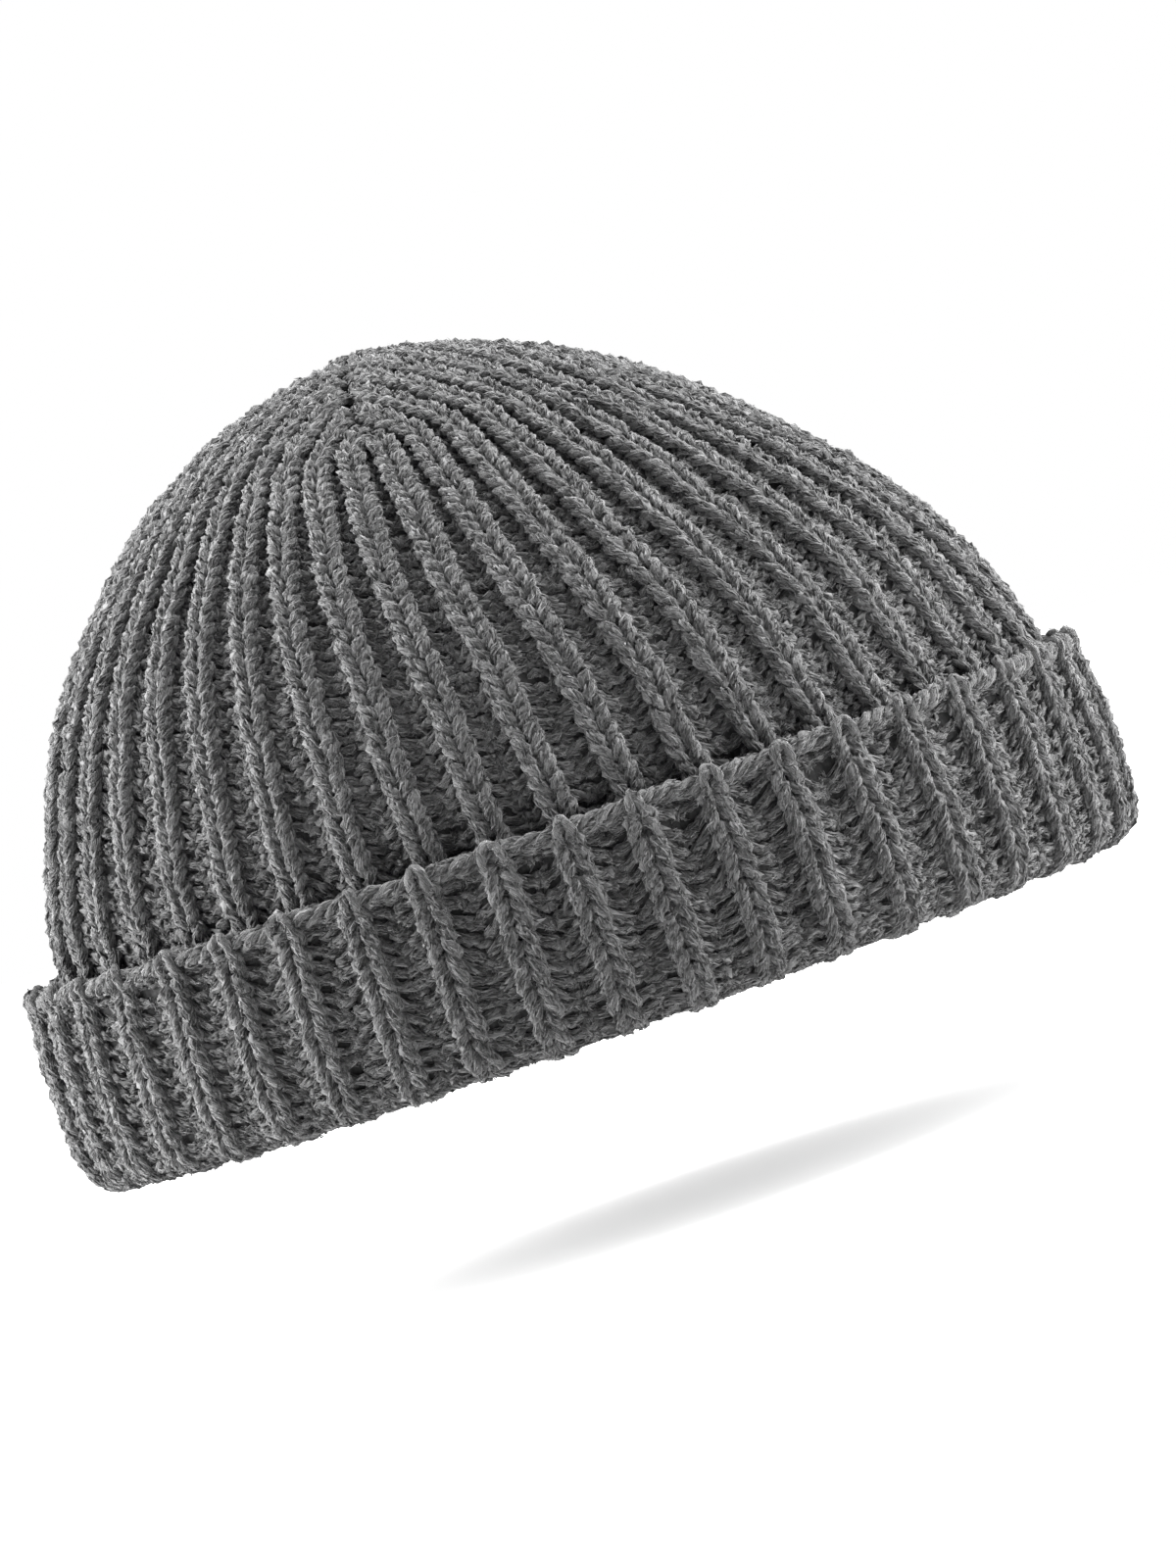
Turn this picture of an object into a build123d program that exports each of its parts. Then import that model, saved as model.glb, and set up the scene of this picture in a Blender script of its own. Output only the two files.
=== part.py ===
from build123d import *
import os
from math import cos, radians, sin

# A short rib-knit beanie with a turned-up cuff, in millimetres.
# +X is towards the forehead, +Z towards the crown, and the hem rests on z = 0.
# The knit is modelled as smooth shells of the fabric's own thickness.

# Driving dimensions
CUFF_LENGTH = 215.0          # outside of the cuff, forehead to nape
WIDTH_RATIO = 0.86           # ear to ear over forehead to nape, at the band
CROWN_WIDTH_RATIO = 0.90     # the same at the crown, which is rounder
KNIT = 4.0                   # thickness of one layer of knit
CUFF_HEIGHT = 42.5           # hem to the top of the cast-on edge
HEM_HEIGHT = 4.0             # the rolled fold at the bottom of the cuff
BEAD_RADIUS = 2.4            # the cast-on edge is a round cord of yarn
BODY_GAP = 0.3               # the cuff slides over the band with this clearance
CLOSURE_RADIUS = 5.0         # the gathered stitches that close the crown
SEAM_RADIUS = 1.6            # half the width of an inside seam ridge
SEAM_BITE = 0.5              # how far a seam ridge sinks into the knit
DART_LEVELS = (129.6, 122.0, 105.0)
BACK_SEAM_LEVELS = (8.0, 38.0, 62.0, 84.0, 101.0)

# Outside of the cap above the hem: height, half length, and how far the
# middle of that level lies in front of the middle of the cuff.
BAND_LEVELS = [
    (HEM_HEIGHT + BODY_GAP, 99.3, 0.3),
    (43.0, 99.0, 1.2),
]
CROWN_LEVELS = [
    BAND_LEVELS[-1],
    (60.0, 94.9, -0.5),
    (75.0, 88.2, -1.9),
    (90.0, 78.4, -4.2),
    (105.0, 65.1, -5.8),
    (118.0, 50.0, -7.0),
    (128.0, 33.4, -8.0),
    (134.0, 16.5, -7.6),
    (136.0, CLOSURE_RADIUS, -6.6),
]
CAP_LEVELS = BAND_LEVELS[:1] + CROWN_LEVELS
CAP_TOP = 136.6
BAND_TOP = 43.0              # from here up the cap rounds in to the crown

# Outside of the cuff: height and half length, a slight barrel.
HALF_CUFF = CUFF_LENGTH / 2
CUFF_TAPER = 1.6             # how much closer the cuff's top is than its middle
CUFF_LEVELS = [
    (HEM_HEIGHT, HALF_CUFF - 0.7),
    (18.0, HALF_CUFF),
    (30.0, HALF_CUFF - 0.5),
    (CUFF_HEIGHT - 2 * BEAD_RADIUS + 0.6, HALF_CUFF - CUFF_TAPER),
]
HEM_INNER = 97.0
HEM_FILLET = 2.9

LABEL_WIDTH = 26.0
LABEL_LENGTH = 34.0
LABEL_THICKNESS = 1.2
LABEL_TOP = 50.0
LABEL_STANDOFF = 3.2         # the label hangs this far off the knit
STITCH_RADIUS = 0.9


def width_ratio(height):
    """Ear-to-ear over front-to-back size of the cap at a height."""
    rise = max(0.0, height - BAND_TOP) / (CAP_TOP - BAND_TOP)
    return WIDTH_RATIO + (CROWN_WIDTH_RATIO - WIDTH_RATIO) * rise


def level_face(height, half_length, centre):
    """One level of the cap as an ellipse."""
    half_width = half_length * width_ratio(height)
    return Pos(centre, 0, height) * Ellipse(half_length, half_width)


def moved_inward(levels, depth):
    """The same levels, each moved square to the outline by depth."""
    inner = []
    for index, (height, half_length, centre) in enumerate(levels):
        before = levels[max(index - 1, 0)]
        after = levels[min(index + 1, len(levels) - 1)]
        rise = after[0] - before[0]
        shrink = before[1] - after[1]
        run = (rise * rise + shrink * shrink) ** 0.5
        inner.append((height - depth * shrink / run, half_length - depth * rise / run, centre))
    return inner


def filled(levels, ruled=False):
    """A solid through a list of levels."""
    return loft([level_face(*level) for level in levels], ruled=ruled)


def filled_cap(levels):
    """A straight band up to the second level, and a rounded crown from there."""
    return filled(levels[:2], ruled=True) + filled(levels[1:])


def stretched(levels, below, above):
    """Levels carried past both ends, so that a cut goes right through."""
    first, last = levels[0], levels[-1]
    return [(first[0] - below, *first[1:])] + levels[1:-1] + [(last[0] + above, *last[1:])]


def level_at(height, levels):
    """Half length and centre of a list of levels at a height."""
    for low, high in zip(levels, levels[1:]):
        if low[0] <= height <= high[0]:
            part = (height - low[0]) / (high[0] - low[0])
            return tuple(low[i] + part * (high[i] - low[i]) for i in (1, 2))
    return levels[-1][1:]


def wall_point(height, azimuth, levels):
    """A point on a wall, with azimuth 0 at the forehead and 180 at the nape."""
    half_length, centre = level_at(height, levels)
    angle = radians(azimuth)
    across = half_length * width_ratio(height) * sin(angle)
    return Vector(centre + half_length * cos(angle), across, height)


def tube(path, radius):
    """A round bar along a path."""
    start = path ^ 0
    return sweep(start * Circle(radius), path=path)


def make_knit_body():
    """The cap and the band behind the cuff, one layer of knit."""
    inner = stretched(moved_inward(CAP_LEVELS, KNIT), 2.0, KNIT)
    opening = Pos(CAP_LEVELS[-1][2], 0, CAP_TOP) * Cylinder(CLOSURE_RADIUS, 4 * KNIT)
    return filled_cap(CAP_LEVELS) - filled_cap(inner) - opening


def make_crown_closure():
    """The last stitches, gathered on a yarn that is pulled tight."""
    apex = Pos(CAP_LEVELS[-1][2], 0, 0)
    plug_floor = CAP_TOP - KNIT - 2.4
    profile = make_face(
        Polyline(
            (0, plug_floor),
            (CLOSURE_RADIUS * 0.8, plug_floor),
            (CLOSURE_RADIUS, plug_floor + 1.2),
            (CLOSURE_RADIUS, CAP_TOP - 0.8),
            (CLOSURE_RADIUS * 0.6, CAP_TOP),
            (0, CAP_TOP - 0.9),
            close=True,
        )
    )
    return apex * revolve(Plane.XZ * profile, Axis.Z)


def make_dart_seam(azimuth):
    """The ridge inside the crown where two gores are sewn together."""
    inside = moved_inward(CAP_LEVELS, KNIT + SEAM_RADIUS - SEAM_BITE)
    points = [wall_point(height, azimuth, inside) for height in DART_LEVELS]
    return tube(ThreePointArc(*points), SEAM_RADIUS)


def make_back_seam():
    """The join of the two edges of the knitted panel, inside at the nape."""
    inside = moved_inward(CAP_LEVELS, KNIT + SEAM_RADIUS - SEAM_BITE)
    points = [wall_point(height, 180, inside) for height in BACK_SEAM_LEVELS]
    radii = [160.0, 90.0, 70.0]
    return tube(FilletPolyline(*points, radius=radii), SEAM_RADIUS)


def label_face_x():
    """Where the label's outer face lies, in front of the nape."""
    inside = moved_inward(CAP_LEVELS, KNIT)
    return wall_point(LABEL_TOP, 180, inside).X + LABEL_STANDOFF


def make_care_label():
    """A blank satin tab, folded in half at the bottom and sewn at the top."""
    centre_x = label_face_x() + LABEL_THICKNESS / 2
    middle = LABEL_TOP - LABEL_LENGTH / 2
    tab = Pos(centre_x, 0, middle) * Box(LABEL_THICKNESS, LABEL_WIDTH, LABEL_LENGTH)
    fold = tab.edges().filter_by(Axis.Y).group_by(Axis.Z)[0]
    return fillet(fold, LABEL_THICKNESS * 0.45)


def make_label_stitch():
    """Two short bars of thread that hold the label's top corners."""
    start = label_face_x() - LABEL_STANDOFF - 2.0
    length = LABEL_STANDOFF + LABEL_THICKNESS + 2.4
    bars = []
    for side in (-1, 1):
        place = Pos(start + length / 2, side * LABEL_WIDTH * 0.36, LABEL_TOP - 2.0)
        bars.append(place * Rot(0, 90, 0) * Cylinder(STITCH_RADIUS, length))
    return Compound(children=bars)


def ring(levels, inner_levels):
    """A ring of knit between two barrels that share a centre."""
    outer = [(height, half, 0.0) for height, half in levels]
    inner = [(height, half, 0.0) for height, half in inner_levels]
    return filled(outer) - filled(stretched(inner, 2.0, 2.0))


def make_cuff_outer():
    """The turned-up layer, which shows the back of the knit."""
    inner = [(height, half - KNIT) for height, half in CUFF_LEVELS]
    return ring(CUFF_LEVELS, inner)


def make_hem_fold():
    """The rolled fold that the cap rests on, flat underneath."""
    outside = Ellipse(HALF_CUFF - 0.7, (HALF_CUFF - 0.7) * WIDTH_RATIO)
    inside = Ellipse(HEM_INNER, HEM_INNER * WIDTH_RATIO)
    fold = extrude(outside - inside, HEM_HEIGHT)
    return fillet(fold.edges().group_by(Axis.Z)[0], HEM_FILLET)


def make_cast_on_edge():
    """The corded first row of the knitting, at the top of the cuff."""
    half_length = HALF_CUFF - CUFF_TAPER - BEAD_RADIUS
    height = CUFF_HEIGHT - BEAD_RADIUS
    path = Pos(0, 0, height) * Edge.make_ellipse(half_length, half_length * WIDTH_RATIO)
    return tube(path, BEAD_RADIUS)


NODES = {
    "knit_body": make_knit_body(),
    "crown_closure": make_crown_closure(),
    "dart_seam_front": make_dart_seam(0),
    "dart_seam_left": make_dart_seam(90),
    "dart_seam_back": make_dart_seam(180),
    "dart_seam_right": make_dart_seam(270),
    "back_seam": make_back_seam(),
    "care_label": make_care_label(),
    "label_stitch": make_label_stitch(),
    "cuff_outer": make_cuff_outer(),
    "hem_fold": make_hem_fold(),
    "cast_on_edge": make_cast_on_edge(),
}

os.makedirs("parts", exist_ok=True)
for name, solid in NODES.items():
    export_step(solid, f"parts/{name}.step")
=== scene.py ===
import math
from functools import partial

import bpy
import numpy as np
from mathutils import Matrix, Vector
from mathutils.bvhtree import BVHTree


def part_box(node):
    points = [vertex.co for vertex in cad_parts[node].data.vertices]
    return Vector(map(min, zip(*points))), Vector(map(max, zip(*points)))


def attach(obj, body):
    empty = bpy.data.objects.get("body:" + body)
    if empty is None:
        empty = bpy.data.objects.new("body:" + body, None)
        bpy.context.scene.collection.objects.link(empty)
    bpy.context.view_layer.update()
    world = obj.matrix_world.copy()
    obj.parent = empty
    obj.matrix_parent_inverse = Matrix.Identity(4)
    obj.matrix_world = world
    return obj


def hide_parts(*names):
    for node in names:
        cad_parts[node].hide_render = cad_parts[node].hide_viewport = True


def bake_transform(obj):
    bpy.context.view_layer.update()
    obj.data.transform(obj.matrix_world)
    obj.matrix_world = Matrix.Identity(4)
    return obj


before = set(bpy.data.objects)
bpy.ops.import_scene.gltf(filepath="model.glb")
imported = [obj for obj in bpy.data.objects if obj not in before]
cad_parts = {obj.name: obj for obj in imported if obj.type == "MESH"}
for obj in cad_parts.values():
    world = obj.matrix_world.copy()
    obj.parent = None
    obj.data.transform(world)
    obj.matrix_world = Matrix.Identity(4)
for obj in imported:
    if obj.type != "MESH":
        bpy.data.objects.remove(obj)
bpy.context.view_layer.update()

MM = 0.001
TURN = 2 * math.pi

# Knit, in millimetres: columns of stitches run up the hat, courses run round it.
GORES = 4                    # the crown's four darts lie between the gores
RIBS_PER_GORE = 11
RIBS = GORES * RIBS_PER_GORE
COURSE = 2.72                # from one course to the next
CAP_BANDS = (0.28, 0.6)      # where the cap's courses are split into bands, as shares of them
NARROWEST_RIB = 6.4          # where the ribs get closer than this, the darts take them away
FREE_RIB = 7.6               # in narrower ribs than this, the ridges draw in too
DRAWN_IN = 0.7               # the least share of its width that a ridge keeps
HALF_FABRIC = 2.95           # from the middle of the fabric to the top of its ridges
FOLD_HEIGHT = 7.0            # the hem's fold turns about this height
HEM_FLATTENING = 0.72        # how much the ribs are pressed flat at the fold
HEM_AT = 6.6                 # the fold's lowest point along the cuff's wall
HEM_REACH = 6.0              # how far along the wall from there the pressing fades
CUFF_DROOP = 2.4             # how far the cuff's bars hang between its ridges
CAP_DROOP = 1.3              # the same in the cap
DROOP_FROM_HEM = 16          # the bars hang fully from this far above the hem
DROOP_FROM_TOP = 8           # to this far below the upper end of the fabric

# Where two gores meet in a dart, in millimetres
DART_OVERLAP = 0.5           # how far the yarns of a gore pass its edge
DART_GAP = 0.7               # how much less they do so where ribs are taken away
DART_REACH = 3.2             # the knit dips this near to the edge
DART_DIP = 2.0               # and this deep
DART_ONSET = 4               # how soon that starts as the ribs get too many

# How far the unevenness of the stitches goes
SHAKE_RISE = 0.11            # up the wall, in courses
SHAKE_BARS = 0.08            # and how much more in the bars between the ridges
SHAKE_ACROSS = 0.19          # along the course, in mm
SHAKE_LIFT = 0.13            # square to the fabric, in mm
SHAKE_RADIUS = 0.06          # in the yarn's thickness, as a share of it
DRIFT = 0.8                  # the part of it that changes slowly from course to course
DRIFT_COURSES = 4            # how many courses such a change takes

# Yarn, in millimetres
YARN = 1.0                   # the yarn's radius in a ridge
TUBE_SIDES = 6               # points round a yarn: a crest and a groove for each of three plies
LUMPS = 0.05                 # unevenness of the yarn's surface, as a share of its radius
ROUGH = 0.13                 # how far a yarn wanders from its path
PLY = 0.13                   # how deep the grooves between the plies are, as a share of the radius
TWIST = 0.09                 # turns of the plies in a mm
UV_SCALE = (1, 0.1)          # u counts turns round a yarn, v centimetres along it

# Height in the fabric as a depth from 0 to 1, in millimetres over the fabric's middle; it sets
# painted shade, darker lower in the fabric
DEPTH_FLOOR = -1.0           # the height at depth 0
DEPTH_RANGE = 3.4            # from there to depth 1
CORD_HEIGHT = 2.0            # taken for yarn that isn't part of a fabric
CORD_FUZZ_HEIGHT = 1.0       # and for the fibres on it

# Loose fibres: bent slivers that lie on the yarn, in millimetres and radians
FIBRES_PER_MM = 7.0          # on each mm of yarn that shows
FIBRE_RADIUS = 0.17          # half the width of the widest at its bend
THINNEST_FIBRE = 0.55        # the width of the thinnest, as a share of the widest
FIBRE_STRIDES = (1, 2)       # rings of the yarn from a fibre's end to its bend
FIBRE_SPREAD = 1.9           # how far round from the yarn's top they start
FIBRE_WIND = (0.45, 0.55)    # how far round they go at each step: middle and spread
FIBRE_LIE = (0.03, 0.2)      # how high they pass over the yarn
LOOSE_FIBRES = 0.28          # the share of fibres that stand off the yarn
LOOSE_RISE = 0.4             # how much higher those can pass
FUZZ_FLOOR = -1.0            # no fibres grow on yarn lower in the fabric than this
TONE_SPREAD = 0.8            # how much the tone differs from fibre to fibre, from 0 to 1
PAINTED_SHADE_BY_DEPTH = 0.5          # painted shade: how much lighter the fibres at the top of the fabric are
TONE_DROP = 0.24             # what is taken off every tone

# The layer of fuzz that closes the middle of the fabric, in millimetres; its darker wool is painted
# shade
WEB_ROW = 2.2                # from one row of its points to the next
WEB_STEPS = 8                # points in each rib
WEB_WAVE = 0.7               # how far it follows the ribs out and in
WEB_HALF = 0.12              # half its thickness

# One stitch of 1 x 1 rib, from the middle of an outer ridge to the middle of the next inner
# ridge: which ridge a point is measured from (0 outer, 1 inner, 0.5 halfway), how far from it
# along the course in mm, how far up in courses, its height over the middle of the fabric in mm,
# and the yarn's thickness there, as a share of YARN.
STITCH = [
    (0.0, 0.00, 1.00, 0.15, 0.90),
    (0.0, 1.60, 0.92, 0.50, 0.88),
    (0.0, 2.25, 0.45, 1.25, 1.00),
    (0.0, 1.50, -0.02, 1.86, 1.10),
    (0.0, 0.58, -0.52, 1.20, 0.94),
    (0.0, 1.35, -0.98, 0.35, 0.85),
    (0.5, 0.00, -0.74, 0.10, 0.94),
    (1.0, -1.35, -0.98, -0.25, 0.90),
    (1.0, -0.45, -0.62, -1.00, 0.96),
    (1.0, -0.95, -0.22, -1.60, 1.10),
    (1.0, -1.60, 0.30, -1.45, 1.08),
    (1.0, -1.45, 0.80, -1.00, 1.00),
    (1.0, 0.00, 0.95, -0.10, 0.96),
]
STEPS = 2                    # tube rings from one of those points to the next

# The cast-on cord and the stitches over it, in millimetres
EDGE_STRIP = 5.0             # half the height of the strip of wall that they are laid on
CORD_AT = 4.8                # the height of the cord's middle on that strip
CORD_RISE = 1.05             # how far its strands go up and down from its middle
CORD_LIFT = 0.95             # and in and out
CORD_STRANDS = 3             # how many strands it is twisted from
CORD_TWIST = 1.5             # turns of the cord in a rib
EDGE_YARN = 0.92             # the radius of its yarn
CORD_FIBRES = 4.0            # loose fibres on each mm of the cord
ARCH_FIBRES = 3.0            # and of the stitches over it

# One stitch over the cast-on cord: along it, up and outward from its middle, in mm.
ARCH = [
    (-1.30, -4.6, -0.6),
    (-1.40, -2.6, 0.7),
    (-1.50, -0.6, 1.7),
    (-1.10, 1.0, 1.7),
    (-0.10, 1.9, 0.8),
    (1.00, 1.1, 1.7),
    (1.50, -0.6, 1.7),
    (1.40, -2.6, 0.7),
    (1.30, -4.6, -0.6),
]

# One gathered stitch of the crown: from the middle, above the top and the yarn's radius, in mm.
GATHERS = 11                 # how many of them close the crown
GATHER_FIBRES = 3.5          # loose fibres on each mm of them
GATHER = [
    (6.6, -3.4, 1.0),
    (5.2, -2.1, 1.05),
    (3.8, -1.2, 1.0),
    (2.4, -1.0, 0.9),
    (1.2, -1.8, 0.75),
    (0.6, -3.2, 0.6),
]

# Seams inside, in millimetres: two strands twisted along them, and stitches over those
SEAM_LAY = 5.5               # one turn of the strands
SEAM_STRAND = 0.8            # their radius
SEAM_TWIST = 0.75            # how far their middles are from the seam's
SEAM_STITCH = 3.6            # from one stitch to the next
STITCH_REACH = 1.7           # how far a stitch stands off the seam's middle
STITCH_RADIUS = 0.42         # the radius of its yarn
INSIDE = (0.0, 0.0, 60.0)    # a point in the head space, which the seams' stitches face

# Label and its thread, in millimetres
LABEL_HALF = 0.14            # half the thickness of the tape
LABEL_ROOM = 0.2             # how much closer the tape is folded than the CAD model's label
THREAD = 0.38                # the radius of a strand of the thread
THREAD_TWIST = 0.36          # how far the two strands' middles are from the thread's
THREAD_LAY = 3.0             # one turn of the strands
KNOT = 0.62                  # the radius of the knot's loop
KNOT_THREAD = 0.34           # and of the strand in it

FLOOR = -0.036               # the floor's height in m, below the cuff when it is pulled down
FLOOR_RADIUS = 4             # in m

# Seeds of the random draws, which make every run the same
YARN_SEED = 7
CAP_SEED = 11
CUFF_SEED = 23
EDGE_SEED = 31
CLOSURE_SEED = 41
CAP_FUZZ_SEED = 100          # and one more for each gore
CUFF_FUZZ_SEED = 200
EDGE_FUZZ_SEED = 300
CLOSURE_FUZZ_SEED = 400


# ------------------------------------------------------------------ surfaces
def cad_tree(name):
    """A search tree over a CAD node."""
    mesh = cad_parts[name].data
    points = [vertex.co.copy() for vertex in mesh.vertices]
    return BVHTree.FromPolygons(points, [tuple(face.vertices) for face in mesh.polygons])


def outside(tree, start, direction):
    """How far a CAD node reaches from a point along a direction, in mm."""
    direction = Vector(direction)
    start = Vector(start) * MM
    hit = tree.ray_cast(start + direction * 0.5, -direction)[0]
    return (hit - start).dot(direction) / MM


def smooth(values, passes):
    """A running average that keeps both ends."""
    values = np.array(values, float)
    for _ in range(passes):
        values[1:-1] = 0.25 * values[:-2] + 0.5 * values[1:-1] + 0.25 * values[2:]
    return values


def oval_girth(a, b):
    """Length round an ellipse of half axes a and b."""
    h = ((a - b) / (a + b)) ** 2
    return math.pi * (a + b) * (1 + 3 * h / (10 + np.sqrt(4 - 3 * h)))


class Wall:
    """The middle of a layer of fabric: ovals along a meridian s, all in mm.

    shape holds the half length, the half width, the centre and the height of each oval."""

    def __init__(self, shape):
        self.shape = np.array(shape, float)
        steps = np.diff(self.shape, axis=1)
        self.s = np.concatenate([[0], np.cumsum(np.hypot(steps[0], steps[3]))])
        self.length = self.s[-1]
        self.slope = np.gradient(self.shape, self.s, axis=1)
        self.girth = oval_girth(self.shape[0], self.shape[1])

    def lookup(self, table, s):
        """Rows of a table along the meridian, read at s."""
        return np.array([np.interp(s, self.s, row) for row in table])

    def girth_at(self, s):
        """The way round the hat at s."""
        return np.interp(s, self.s, self.girth)

    def rib_at(self, s):
        """Width of one rib: the girth shared out, but never under the narrowest."""
        return np.maximum(self.girth_at(s) / RIBS, NARROWEST_RIB)

    def place(self, s, round_part, lift):
        """Points and outward normals, at a part of the way round from the forehead."""
        a, b, centre, height = self.lookup(self.shape, s)
        da, db, dcentre, dheight = self.lookup(self.slope, s)
        flat = (a * a - b * b) / (a * a + b * b)
        angle = TURN * round_part
        angle = angle + flat / 4 * np.sin(2 * angle)
        cosine, sine = np.cos(angle), np.sin(angle)
        point = np.stack([centre + a * cosine, b * sine, height], -1)
        along = np.stack([-a * sine, b * cosine, 0 * a], -1)
        up = np.stack([dcentre + da * cosine, db * sine, dheight], -1)
        normal = np.cross(along, up)
        normal /= np.linalg.norm(normal, axis=-1, keepdims=True)
        return point + normal * lift[..., None], normal


def cap_wall():
    """The cap's wall, from the band's foot to the crown, read from the CAD model."""
    tree = cad_tree("knit_body")
    low, high = FOLD_HEIGHT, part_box("knit_body")[1].z / MM - 0.25
    crown_x = sum(corner.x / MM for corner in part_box("crown_closure")) / 2
    heights = low + (high - low) * np.sin(np.linspace(0, math.pi / 2, 90))
    front = np.array([outside(tree, (crown_x, 0, z), (1, 0, 0)) for z in heights]) + crown_x
    back = np.array([outside(tree, (crown_x, 0, z), (-1, 0, 0)) for z in heights]) - crown_x
    middle = (front - back) / 2
    side = np.array([outside(tree, (x, 0, z), (0, 1, 0)) for x, z in zip(middle, heights)])
    a = smooth((front + back) / 2, 6)
    b = smooth(side, 6)
    centre = smooth(middle, 6)
    return thinned(a, b, centre, heights, HALF_FABRIC)


def thinned(a, b, centre, height, depth):
    """A wall that lies depth inside an outline."""
    run = np.hypot(np.gradient(a), np.gradient(height))
    across = np.gradient(height) / run
    upward = -np.gradient(a) / run
    return Wall([a - depth * across, b - depth * across, centre, height - depth * upward])


CAP = cap_wall()


def cuff_wall():
    """The cuff's wall: from the band's foot round the hem and up to the cast-on edge."""
    tree = cad_tree("cuff_outer")
    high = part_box("cuff_outer")[1].z / MM
    heights = np.linspace(FOLD_HEIGHT, high - 0.4, 40)
    a = smooth([outside(tree, (0, 0, z), (1, 0, 0)) for z in heights], 6) - HALF_FABRIC
    b = smooth([outside(tree, (0, 0, z), (0, 1, 0)) for z in heights], 6) - HALF_FABRIC
    band_a, band_b = CAP.shape[0][0], CAP.shape[1][0]
    bend = np.linspace(0, math.pi, 30, endpoint=False)
    swing = (1 - np.cos(bend)) / 2
    fold_a = band_a + (a[0] - band_a) * swing
    fold_b = band_b + (b[0] - band_b) * swing
    fold_z = FOLD_HEIGHT - (FOLD_HEIGHT - HALF_FABRIC) * np.sin(bend)
    centre = CAP.shape[2][0] * (1 - swing)
    return Wall([
        np.concatenate([fold_a, a]),
        np.concatenate([fold_b, b]),
        np.concatenate([centre, np.zeros(len(heights))]),
        np.concatenate([fold_z, heights]),
    ])


CUFF = cuff_wall()


# -------------------------------------------------------------------- meshes
def make_piece(name, points, faces, uvs, material, depth=None):
    """A mesh object from arrays: points in mm, faces as rows of corners, one uv per corner.

    depth tells the wool how far each point stands out of the fabric, from 0 to 1; the wool paints
    shade with it, darker lower down."""
    mesh = bpy.data.meshes.new(name)
    sizes = np.concatenate([np.full(len(rows), rows.shape[1]) for rows in faces])
    corners = np.concatenate([rows.ravel() for rows in faces])
    mesh.vertices.add(len(points))
    mesh.vertices.foreach_set("co", (points * MM).astype(np.float32).ravel())
    mesh.loops.add(len(corners))
    mesh.loops.foreach_set("vertex_index", corners.astype(np.int32))
    mesh.polygons.add(len(sizes))
    starts = np.concatenate([[0], np.cumsum(sizes)[:-1]])
    mesh.polygons.foreach_set("loop_start", starts.astype(np.int32))
    mesh.polygons.foreach_set("loop_total", sizes.astype(np.int32))
    layer = mesh.uv_layers.new(name="yarn")
    layer.data.foreach_set("uv", uvs.astype(np.float32).ravel())
    mesh.polygons.foreach_set("use_smooth", np.ones(len(sizes), bool))
    mesh.materials.append(material)
    if depth is None:
        depth = np.full(len(points), 0.5)
    layer = mesh.attributes.new("depth", "FLOAT", "POINT")
    layer.data.foreach_set("value", depth.astype(np.float32))
    mesh.update(calc_edges=True)
    mesh.validate()
    piece = bpy.data.objects.new(name, mesh)
    bpy.context.scene.collection.objects.link(piece)
    return piece


def unit(vectors):
    """The same directions at length 1."""
    return vectors / (np.linalg.norm(vectors, axis=-1, keepdims=True) + 1e-9)


def cross_frame(path, up):
    """Unit vectors ahead, sideways and upward at each point of a path."""
    ahead = unit(np.gradient(path, axis=0))
    side = unit(np.cross(ahead, up))
    return ahead, side, np.cross(side, ahead)


def run_lengths(path):
    """How far along a path each of its points is."""
    return np.concatenate([[0], np.cumsum(np.linalg.norm(np.diff(path, axis=0), axis=1))])


def painted_shade_depth(height):
    """A height over the fabric's middle, in mm, as a depth from 0 to 1, which sets the painted shade
    of the wool.
    """
    return np.clip((height - DEPTH_FLOOR) / DEPTH_RANGE, 0, 1)


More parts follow.
